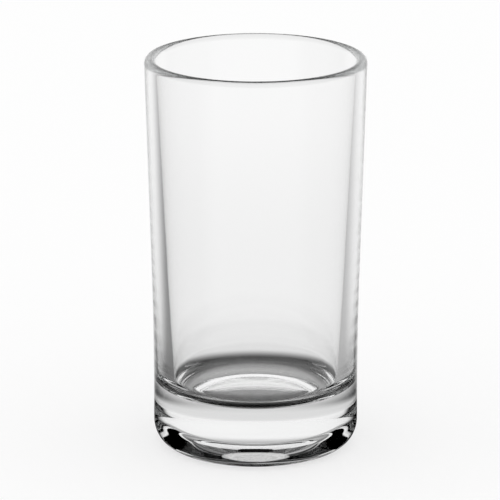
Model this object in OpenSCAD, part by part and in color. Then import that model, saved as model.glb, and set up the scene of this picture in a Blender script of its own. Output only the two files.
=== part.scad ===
// Heavy-base drinking tumbler, pressed in one piece from clear glass.
// The origin is on the table at the middle of the base, and +Z is up.

/* [Overall] */
// Height from the table to the top of the lip
height = 115.5; // [90:0.5:150]
// Outside diameter at the lip
lip_d = 64; // [58:0.5:80]
// Outside diameter of the upright band round the base
base_d = 59.6; // [54:0.2:72]

/* [Wall] */
// Thickness of the wall at the lip, which is rounded to a full half circle
lip_wall = 3.2; // [2:0.1:5]
// Thickness of the wall where the bore meets its floor
floor_wall = 5.7; // [3:0.1:8]
// Height where the flared wall starts from the upright band
flare_h = 36.5; // [28:0.5:60]
// Radius of the long sweep that eases the band into the flared wall
sweep_r = 1000; // [100:50:1500]

/* [Base] */
// Thickness of the base from the table to the floor of the bore
floor_h = 16.8; // [12:0.2:30]
// Radius of the corner between the bore and its floor
floor_r = 6.2; // [1:0.2:12]
// Width of the oval heel between the side and the standing ring
heel_w = 5.9; // [2:0.1:7]
// Height of the oval heel
heel_h = 7; // [2:0.5:10]

/* [Underside] */
// Width of the flat ring that the glass stands on, with its inner edge
ring_w = 1; // [0.8:0.1:4]
// Radius that eases the ring into the side of the recess
ring_r = 0.4; // [0.2:0.1:0.7]
// Height of the recess where its side would meet its top
recess_h = 5.5; // [2:0.1:7]
// Lean of the recess's side from upright
recess_draft = 40; // [15:1:50]
// Radius of the corner between the recess's side and its top
recess_r = 6.5; // [1:0.5:8]
// Rise of the recess's top from its rim to its middle
dome_rise = 0.5; // [0.2:0.1:2]

/* [Hidden] */

// Facets in a full turn, and steps in a round stretch of the section
$fn = 180;
arc_steps = 12;

// The lip is a full circle in the section, and both faces of the wall touch it
lip_r = lip_wall / 2;
lip_c = [lip_d / 2 - lip_r, height - lip_r];

// Angle from upright of a line that starts at a point and touches the lip circle on one side
function lean(start, side) =
    let (to_lip = lip_c - start)
    atan2(to_lip.x, to_lip.y) + side * asin(lip_r / norm(to_lip));

// The outside wall starts at the band, and a sweep no longer than the band eases the corner
band_r = base_d / 2;
wall_lean = lean([band_r, flare_h], 1);
wall_side = wall_lean < 0 ? -1 : 1;
sweep_fit = min(sweep_r, (flare_h - heel_h) / tan(abs(wall_lean) / 2));
sweep_c = [band_r + wall_side * sweep_fit, flare_h - sweep_fit * tan(abs(wall_lean) / 2)];
sweep_from = wall_side > 0 ? 180 : 0;

// The bore starts at its floor, and its corner touches the floor and the bore's wall
bore_foot = [band_r - floor_wall, floor_h];
bore_lean = lean(bore_foot, -1);
floor_c = [bore_foot.x - floor_r / tan(45 + bore_lean / 2), floor_h + floor_r];

// The heel is a quarter of an oval, and the standing ring runs in from it to the recess
heel_c = [band_r - heel_w, heel_h];
recess_edge = [heel_c.x - ring_w, 0];
ring_c = [recess_edge.x + ring_r / tan(45 + recess_draft / 2), ring_r];

// The recess's side leans inward, and its air lies towards the middle and the table
side_up = [-sin(recess_draft), cos(recess_draft)];
side_air = [-cos(recess_draft), -sin(recess_draft)];

// The recess's top is part of a sphere that would meet the side at the recess's height
top_rim = recess_edge.x - recess_h * tan(recess_draft);
dome_r = (top_rim * top_rim + dome_rise * dome_rise) / (2 * dome_rise);
dome_c = [0, recess_h + dome_rise - dome_r];

// The recess's corner touches its top and its side, and is no larger than the side has room for
corner_r = min(recess_r, recess_h / cos(recess_draft) / tan(45 - recess_draft / 2) - ring_r);
corner_foot = recess_edge + corner_r * side_air;
to_foot = corner_foot - dome_c;
climb = to_foot * side_up;
corner_rise = sqrt(climb * climb - to_foot * to_foot + (dome_r - corner_r) * (dome_r - corner_r)) - climb;
corner_c = corner_foot + corner_rise * side_up;
dome_end = atan2(corner_c.y - dome_c.y, corner_c.x);

// Points of a quarter or other part of an oval, both ends included
function oval(centre, size, from, to) = [
    for (i = [0 : arc_steps])
        let (a = from + (to - from) * i / arc_steps)
        centre + [size.x * cos(a), size.y * sin(a)]
];

// Points of an arc from one angle to another
function arc(centre, radius, from, to) = oval(centre, [radius, radius], from, to);

// Half of the glass in section: recess, standing ring, heel, sweep, lip, bore corner and floor in turn
module half_section() {
    polygon(concat(
        arc(dome_c, dome_r, 90, dome_end),
        arc(corner_c, corner_r, dome_end, recess_draft),
        arc(ring_c, ring_r, 180 + recess_draft, 270),
        oval(heel_c, [heel_w, heel_h], -90, 0),
        arc(sweep_c, sweep_fit, sweep_from, sweep_from - wall_lean),
        arc(lip_c, lip_r, -wall_lean, 180 - bore_lean),
        arc(floor_c, floor_r, -bore_lean, -90),
        [[0, floor_h]]
    ));
}

module tumbler() {
    color("azure", 0.5)
        rotate_extrude()
            half_section();
}

tumbler();
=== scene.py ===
"""A heavy-base tumbler of clear pressed glass, standing on a white studio table."""
import math

import bmesh
import bpy
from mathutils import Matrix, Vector


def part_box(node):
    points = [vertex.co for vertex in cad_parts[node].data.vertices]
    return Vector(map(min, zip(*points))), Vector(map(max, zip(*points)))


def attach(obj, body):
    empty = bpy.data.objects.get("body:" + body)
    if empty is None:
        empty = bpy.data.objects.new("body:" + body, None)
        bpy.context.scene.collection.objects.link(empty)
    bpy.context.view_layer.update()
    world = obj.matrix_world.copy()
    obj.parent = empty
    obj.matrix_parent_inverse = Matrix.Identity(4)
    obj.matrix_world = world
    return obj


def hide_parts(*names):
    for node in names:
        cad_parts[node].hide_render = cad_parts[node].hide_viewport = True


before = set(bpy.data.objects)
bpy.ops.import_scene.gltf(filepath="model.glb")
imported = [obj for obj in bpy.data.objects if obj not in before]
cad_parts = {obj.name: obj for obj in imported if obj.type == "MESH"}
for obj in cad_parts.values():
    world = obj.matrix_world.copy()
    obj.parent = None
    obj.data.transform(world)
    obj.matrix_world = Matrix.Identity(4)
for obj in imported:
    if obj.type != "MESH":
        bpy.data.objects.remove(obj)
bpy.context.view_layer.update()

MM = 0.001
QUARTER = math.pi / 2
DEGREES = 180 / math.pi
WHITE = (1.0, 1.0, 1.0, 1.0)

# The overall size is the frame's, and the other sizes of the section are the part's own
low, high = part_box("tumbler")
HEIGHT = high.z - low.z
LIP_R = (high.x - low.x) / 2
BASE_R = 29.8 * MM
LIP_WALL = 3.2 * MM
FLOOR_WALL = 5.7 * MM
FLARE_H = 36.5 * MM
SWEEP_R = 1000.0 * MM
FLOOR_H = 16.8 * MM
FLOOR_R = 6.2 * MM
HEEL_W = 5.9 * MM
HEEL_H = 7.0 * MM
RING_W = 1.0 * MM
RING_R = 0.4 * MM
RECESS_EDGE = BASE_R - HEEL_W - RING_W
RECESS_H = 5.5 * MM
RECESS_DRAFT = math.radians(40)
RECESS_R = 6.5 * MM
DOME_RISE = 0.5 * MM

# How finely the section and the turn are divided, and how near points count as one
ARC_STEPS = 32
TURN_STEPS = 288
EDGE_LOOP = 0.4 * MM
LINE_STEP = 4.0 * MM
SAME_POINT = 0.0001 * MM

# A ramp is given by where it starts, where it ends, its value up to the start and its value past the end

# The glass: how light bends and dims in it, its faint waves, the scuffs where it stands, the softer wall
GLASS_IOR = 1.52
GLASS_TINT = (0.80, 0.81, 0.81, 1.0)
TINT_DENSITY = 3.0
WAVES = {"Scale": 60.0, "Detail": 1.0}
WAVE_BUMP = {"Strength": 0.02, "Distance": 1.0 * MM}
SCUFFS = {"Scale": 900.0, "Detail": 4.0}
SCUFF_ROUGH = (0.45, 0.7, 0.0, 0.3)
SCUFF_HEIGHT = (0.1 * MM, 0.6 * MM, 1.0, 0.0)
WALL_ROUGH = (FLOOR_H, FLARE_H, 0.0, 0.02)

# The table lies a hair under the standing ring, and light and shadow change this share of its white
TABLE_GAP = 0.05 * MM
TABLE_SIDE = 8.0
TABLE_SHADE = 0.35

# The path of a ray, by its passes through the surface of the glass, two to a crossing
OUTSIDE_ONLY = (0.0, 1.0, 1.0, 0.0)
ONCE_AT_MOST = (2.0, 3.0, 1.0, 0.0)
THIRD_CROSSING = (4.0, 5.0, 0.0, 1.0)
# And by how often the glass mirrors it: where it turns, where it gets lost and where the wall leads it round
FIRST_TURN = (0.0, 1.0, 0.0, 1.0)
SECOND_TURN = (1.0, 2.0, 0.0, 1.0)
LOST_AFTER_ONE = (3.0, 6.0, 0.0, 1.0)
LOST_AFTER_ALL = (7.0, 12.0, 0.0, 1.0)
LED_ROUND = (30.0, 40.0, 0.0, 1.0)
# Share of the studio's light in a ray that the wall has led round
LED_SHARE = 0.92

# The table as the glass shows it: a painted shadow by distance from the axis, darkest near the base and
# fading out further off, then a painted glow under the heel and a painted glint near the base
NEAR_PAINTED_SHADOW = (38.0 * MM, 55.0 * MM, 0.01, 0.80)
MIDDLE_SHADOW_FADE = (55.0 * MM, 130.0 * MM, 0.0, 0.09)
FAR_SHADOW_FADE = (150.0 * MM, 400.0 * MM, 0.0, 0.065)
HEEL_GLOW = (22.0 * MM, 25.0 * MM, 0.0, 0.27)
HEEL_GLOW_EDGE = (26.0 * MM, 33.0 * MM, 1.0, 0.0)
GLINT = (36.0 * MM, 55.0 * MM, 0.35, 0.0)
# The same painted glow and the painted dark at the sides of the table, by degrees round from straight behind
# the glass
HEEL_GLOW_FRONT = (80.0, 110.0, 1.0, 0.15)
TABLE_SIDES = (30.0, 60.0, 0.0, 1.0)
TABLE_FRONT = (110.0, 140.0, 0.0, 1.0)
# How dark that painted shade at the sides is: left to right through the glass, in its outer face, and in
# light with no turn
INNER_DARK = (-10.0 * MM, 10.0 * MM, 0.76, 0.46)
OUTER_DARK = (95.0 * MM, 130.0 * MM, 1.0, 0.3)
STRAIGHT_DARK = (100.0 * MM, 200.0 * MM, 1.0, 0.0)

# The dark cards of the studio, by degrees round from straight behind the glass and by degrees up
SIDE_CARDS = (47.0, 58.0, 0.0, 1.0)
SIDE_CARDS_TOP = (40.0, 60.0, 0.0, 1.0)
BACK_CARD = (23.0, 28.0, 0.0, 0.5)
TOP_CARD = (54.0, 64.0, 0.0, 0.5)

# The photograph's camera: picture side, focal length, axis and middle in pixels, sensor in millimetres
IMAGE = 500
CAMERA_D = 1094.0 * MM
CAMERA_EL = math.radians(16.08)
FOCAL_PX = 3766.0
AXIS_COLUMN = 255.2
MIDDLE_ROW = 250.1
SENSOR = 36.0
VIEW_END = 100.0

# Light needs this many steps to find its way out of the glass
LIGHT_STEPS = 128


class Shade:
    """A shader socket: arithmetic on it adds Math nodes, and add() makes any other node."""

    def __init__(self, tree, socket=None):
        self.tree = tree
        self.socket = socket

    def add(self, kind, settings=None, inputs=None, output=0):
        """A new node: its settings first, then the values or links of its sockets."""
        node = self.tree.nodes.new(kind)
        for name, value in (settings or {}).items():
            setattr(node, name, value)
        for name, value in (inputs or {}).items():
            if isinstance(value, Shade):
                self.tree.links.new(value.socket, node.inputs[name])
            else:
                node.inputs[name].default_value = value
        return Shade(self.tree, node.outputs[output])

    def math(self, operation, *values):
        return self.add("ShaderNodeMath", {"operation": operation}, dict(enumerate(values)))

    def __add__(self, other):
        return self.math("ADD", self, other)

    __radd__ = __add__

    def __sub__(self, other):
        return self.math("SUBTRACT", self, other)

    def __rsub__(self, other):
        return self.math("SUBTRACT", other, self)

    def __mul__(self, other):
        return self.math("MULTIPLY", self, other)

    __rmul__ = __mul__

    def most(self, other):
        """The larger of two values."""
        return self.math("MAXIMUM", self, other)

    def ramp(self, start, end, before, after):
        """Eases from one value at the start to another at the end."""
        inputs = {"Value": self, "From Min": start, "From Max": end, "To Min": before, "To Max": after}
        return self.add("ShaderNodeMapRange", {"interpolation_type": "SMOOTHSTEP"}, inputs, "Result")

    def parts(self):
        """The three numbers of a vector."""
        split = self.add("ShaderNodeSeparateXYZ", None, {"Vector": self})
        return [Shade(self.tree, socket) for socket in split.socket.node.outputs]


class GlassPath:
    """What the glass did to a ray on its way to the table or the studio."""

    def __init__(self, shade):
        passes = shade.add("ShaderNodeLightPath", output="Transmission Depth")
        turns = shade.add("ShaderNodeLightPath", output="Glossy Depth")
        self.outside = passes.ramp(*OUTSIDE_ONLY)
        self.once = passes.ramp(*ONCE_AT_MOST)
        self.thrice = passes.ramp(*THIRD_CROSSING)
        self.turned = turns.ramp(*FIRST_TURN)
        self.again = turns.ramp(*SECOND_TURN)
        self.lost = (self.once * turns.ramp(*LOST_AFTER_ONE)).most(turns.ramp(*LOST_AFTER_ALL))
        self.led = turns.ramp(*LED_ROUND)

    def card(self, dark):
        """Darkness of the cards in the ray, also painted as shade on the table: full where it got lost, and
        little where it was led round.
        """
        return self.lost.most(dark) * (1 - self.led * LED_SHARE)


class Section:
    """Half of the glass in section, drawn stretch by stretch as a chain of edges."""

    def __init__(self, bm, start):
        self.bm = bm
        self.tip = bm.verts.new((start[0], 0, start[1]))

    def step_to(self, point):
        """One edge on from the tip."""
        self.tip = bmesh.ops.extrude_vert_indiv(self.bm, verts=[self.tip])["verts"][0]
        self.tip.co = point

    def line(self, end):
        """A straight stretch, with close loops at its ends that keep its shading straight."""
        start = self.tip.co.copy()
        end = Vector((end[0], 0, end[1]))
        run = end - start
        if run.length < 3 * EDGE_LOOP:
            self.step_to(end)
            return
        along = run.normalized()
        count = max(1, round((run.length - 2 * EDGE_LOOP) / LINE_STEP))
        first = start + along * EDGE_LOOP
        last = end - along * EDGE_LOOP
        for i in range(count + 1):
            self.step_to(first.lerp(last, i / count))
        self.step_to(end)

    def arc(self, centre, turn):
        """A round stretch about a centre, anticlockwise where turn is positive."""
        made = bmesh.ops.spin(
            self.bm, geom=[self.tip], cent=(centre[0], 0, centre[1]), axis=(0, -1, 0),
            angle=turn, steps=ARC_STEPS)
        self.tip = made["geom_last"][0]

    def heel(self, wide, tall):
        """A quarter of an oval, level where it leaves the table and upright where it ends."""
        drawn = len(self.bm.verts)
        self.arc((self.tip.co.x, wide), QUARTER)
        bmesh.ops.scale(self.bm, vec=(1, 1, tall / wide), verts=self.bm.verts[drawn:])


def lean(start, lip, lip_r, side):
    """Angle from upright of a line that starts at a point and touches the lip circle on one side."""
    to_lip = Vector(lip) - Vector(start)
    return math.atan2(to_lip.x, to_lip.y) + side * math.asin(lip_r / to_lip.length)


def around(centre, radius, angle):
    """The point of a circle at an angle."""
    return centre[0] + radius * math.cos(angle), centre[1] + radius * math.sin(angle)


def draw_underside(section, dome, dome_r):
    """The recess, whose corner touches its dome and its leaning side, and the standing ring."""
    ring = (RECESS_EDGE + RING_R / math.tan(QUARTER / 2 + RECESS_DRAFT / 2), RING_R)
    side = Vector(around((0, 0), 1, QUARTER + RECESS_DRAFT))
    foot = Vector(around((RECESS_EDGE, 0), -RECESS_R, RECESS_DRAFT))
    reach = foot - Vector(dome)
    climb = reach.dot(side)
    rise = math.sqrt(climb ** 2 - reach.length_squared + (dome_r - RECESS_R) ** 2) - climb
    corner = foot + side * rise
    dome_end = math.atan2(corner.y - dome[1], corner.x)

    section.arc(dome, dome_end - QUARTER)
    section.arc(corner, RECESS_DRAFT - dome_end)
    section.line(around(ring, RING_R, math.pi + RECESS_DRAFT))
    section.arc(ring, QUARTER - RECESS_DRAFT)
    section.line((BASE_R - HEEL_W, 0))


def draw_wall(section):
    """The heel, up the outside, over the lip and down the bore to the middle of its floor."""
    lip_r = LIP_WALL / 2
    lip = (LIP_R - lip_r, HEIGHT - lip_r)
    wall_lean = lean((BASE_R, FLARE_H), lip, lip_r, 1)
    sweep_r = min(SWEEP_R, (FLARE_H - HEEL_H) / math.tan(wall_lean / 2))
    sweep = (BASE_R + sweep_r, FLARE_H - sweep_r * math.tan(wall_lean / 2))
    bore_foot = (BASE_R - FLOOR_WALL, FLOOR_H)
    bore_lean = lean(bore_foot, lip, lip_r, -1)
    floor = (bore_foot[0] - FLOOR_R / math.tan(QUARTER / 2 + bore_lean / 2), FLOOR_H + FLOOR_R)

    section.heel(HEEL_W, HEEL_H)
    section.line((BASE_R, sweep[1]))
    section.arc(sweep, -wall_lean)
    section.line(around(lip, lip_r, -wall_lean))
    section.arc(lip, math.pi + wall_lean - bore_lean)
    section.line(around(floor, FLOOR_R, -bore_lean))
    section.arc(floor, bore_lean - QUARTER)
    section.line((0, FLOOR_H))


def draw_section(bm):
    """The whole half section, which starts at the middle of the domed underside."""
    dome_rim = RECESS_EDGE - RECESS_H * math.tan(RECESS_DRAFT)
    dome_r = (dome_rim ** 2 + DOME_RISE ** 2) / (2 * DOME_RISE)
    dome_top = RECESS_H + DOME_RISE
    section = Section(bm, (0, dome_top))
    draw_underside(section, (0, dome_top - dome_r), dome_r)
    draw_wall(section)


def tumbler():
    """The glass, turned from its section."""
    bm = bmesh.new()
    draw_section(bm)
    bmesh.ops.spin(
        bm, geom=bm.verts[:] + bm.edges[:], cent=(0, 0, 0), axis=(0, 0, 1),
        angle=2 * math.pi, steps=TURN_STEPS, use_merge=True)
    bmesh.ops.remove_doubles(bm, verts=bm.verts, dist=SAME_POINT)
    bmesh.ops.recalc_face_normals(bm, faces=bm.faces)
    for face in bm.faces:
        face.smooth = True
    piece = add_mesh("clear_tumbler", bm, clear_glass())
    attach(piece, "root")
    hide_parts("tumbler")


def add_mesh(name, bm, material):
    """Puts a finished bmesh into the scene under a name."""
    mesh = bpy.data.meshes.new(name)
    bm.to_mesh(mesh)
    bm.free()
    mesh.materials.append(material)
    piece = bpy.data.objects.new(name, mesh)
    bpy.context.collection.objects.link(piece)
    return piece


def new_material(name):
    """An empty node material, with its shading tree and its output."""
    material = bpy.data.materials.new(name)
    material.use_nodes = True
    material.node_tree.nodes.clear()
    output = material.node_tree.nodes.new("ShaderNodeOutputMaterial")
    return material, Shade(material.node_tree), output


def clear_glass():
    """Clear pressed glass: faintly wavy, a little grey where it is thick, scuffed where it stands."""
    material, shade, output = new_material("clear_glass")
    place = shade.add("ShaderNodeTexCoord", output="Object")
    _, _, up = place.parts()

    wave = shade.add("ShaderNodeTexNoise", None, {"Vector": place, **WAVES})
    scuff = shade.add("ShaderNodeTexNoise", None, {"Vector": place, **SCUFFS})
    rough = up.ramp(*SCUFF_HEIGHT) * scuff.ramp(*SCUFF_ROUGH) + up.ramp(*WALL_ROUGH)
    bump = shade.add("ShaderNodeBump", None, {"Height": wave, **WAVE_BUMP}, "Normal")

    surface = shade.add("ShaderNodeBsdfPrincipled", None, {
        "Base Color": WHITE, "Roughness": rough, "IOR": GLASS_IOR, "Transmission Weight": 1.0,
        "Normal": bump})
    depth = shade.add("ShaderNodeVolumeAbsorption", None, {"Color": GLASS_TINT, "Density": TINT_DENSITY})
    material.node_tree.links.new(surface.socket, output.inputs["Surface"])
    material.node_tree.links.new(depth.socket, output.inputs["Volume"])
    return material


def degrees_round(across, away):
    """Degrees to either side of straight behind the glass."""
    return across.math("ABSOLUTE", across.math("ARCTAN2", across, away)) * DEGREES


def painted_table_shading(shade):
    """Painted shading of the table as the glass shows it: a painted shadow under and near the base, a
    painted glow under the heel, a painted glint, and painted dark at its sides and in lost light.
    """
    across, away, _ = shade.add("ShaderNodeTexCoord", output="Object").parts()
    reach = shade.math("SQRT", across * across + away * away)
    azimuth = degrees_round(across, away)
    path = GlassPath(shade)

    # Painted glow on the table under the heel, a painted glint near the base, and a painted shadow that is
    # darkest near the base
    heel = reach.ramp(*HEEL_GLOW) * reach.ramp(*HEEL_GLOW_EDGE) * azimuth.ramp(*HEEL_GLOW_FRONT)
    glint = path.again.most(path.thrice * path.turned) * reach.ramp(*GLINT)
    painted_tone = reach.ramp(*NEAR_PAINTED_SHADOW) + reach.ramp(*MIDDLE_SHADOW_FADE) + reach.ramp(*FAR_SHADOW_FADE) + heel + glint

    # Painted dark at the sides and front of the table, and painted black for lost light
    front = azimuth.ramp(*TABLE_FRONT) * (1 - path.again.most(path.outside))
    side = azimuth.ramp(*TABLE_SIDES) * (1 - front)
    dark = (1 - path.outside) * across.ramp(*INNER_DARK) + path.outside * reach.ramp(*OUTER_DARK)
    shown = path.turned.most(reach.ramp(*STRAIGHT_DARK))
    return painted_tone * (1 - path.card(path.once * side * dark * shown))


def studio_table():
    """White table with a soft real shadow where it is looked at, and a painted shadow, glow, glint and dark
    sides where the glass shows it.
    """
    material, shade, output = new_material("studio_table")
    seen = shade.add("ShaderNodeLightPath", output="Is Camera Ray")
    painted_tone = seen + (1 - seen) * painted_table_shading(shade)
    glow = shade.add("ShaderNodeEmission", None, {"Color": painted_tone})
    matt = shade.add("ShaderNodeBsdfDiffuse", None, {"Color": painted_tone})
    mix = shade.add("ShaderNodeMixShader", None, {"Fac": seen * TABLE_SHADE, 1: glow, 2: matt})
    material.node_tree.links.new(mix.socket, output.inputs["Surface"])
    return material


def table():
    """The table top, which belongs to the studio and not to the part."""
    bm = bmesh.new()
    bmesh.ops.create_grid(bm, x_segments=1, y_segments=1, size=TABLE_SIDE / 2)
    bmesh.ops.translate(bm, vec=(0, 0, -TABLE_GAP), verts=bm.verts)
    add_mesh("studio_table", bm, studio_table())


def studio_light():
    """White all round for the eye and the table, with dark cards that only the glass shows."""
    world = bpy.data.worlds.new("studio")
    bpy.context.scene.world = world
    world.use_nodes = True
    tree = world.node_tree
    tree.nodes.clear()
    shade = Shade(tree)
    across, away, up = shade.add("ShaderNodeTexCoord", output="Generated").parts()
    height = shade.math("ARCSINE", up) * DEGREES
    path = GlassPath(shade)

    side = degrees_round(across, away).ramp(*SIDE_CARDS) * (1 - path.thrice * height.ramp(*SIDE_CARDS_TOP))
    over = height.ramp(*BACK_CARD) + height.ramp(*TOP_CARD)
    card = path.card((path.once.most(path.turned) * side).most(path.once * over))
    seen = shade.add("ShaderNodeLightPath", output="Is Camera Ray")
    soft = shade.add("ShaderNodeLightPath", output="Is Diffuse Ray")
    plain = seen.most(soft)
    light = plain + (1 - plain) * (1 - card)
    glow = shade.add("ShaderNodeBackground", None, {"Color": WHITE, "Strength": light})
    output = tree.nodes.new("ShaderNodeOutputWorld")
    tree.links.new(glow.socket, output.inputs["Surface"])


def camera():
    """Puts the axis and the middle of the glass where the photograph has them."""
    data = bpy.data.cameras.new("camera")
    data.sensor_width = SENSOR
    data.lens = FOCAL_PX / IMAGE * SENSOR
    data.clip_end = VIEW_END
    pixel = CAMERA_D / FOCAL_PX
    middle = (IMAGE - 1) / 2
    up = Vector((0, math.sin(CAMERA_EL), math.cos(CAMERA_EL)))
    back = Vector((0, -math.cos(CAMERA_EL), math.sin(CAMERA_EL)))
    aim = Vector(((middle - AXIS_COLUMN) * pixel, 0, HEIGHT / 2)) + up * (MIDDLE_ROW - middle) * pixel
    piece = bpy.data.objects.new("camera", data)
    piece.location = aim + back * CAMERA_D
    piece.rotation_euler = (QUARTER - CAMERA_EL, 0, 0)
    bpy.context.collection.objects.link(piece)
    bpy.context.scene.camera = piece


def picture_settings():
    """Plain colours, and enough steps for light that turns many times inside the glass."""
    scene = bpy.context.scene
    scene.view_settings.view_transform = "Standard"
    scene.cycles.max_bounces = LIGHT_STEPS
    scene.cycles.transmission_bounces = LIGHT_STEPS
    scene.cycles.glossy_bounces = LIGHT_STEPS
    scene.cycles.use_denoising = True


camera()
tumbler()
table()
studio_light()
picture_settings()
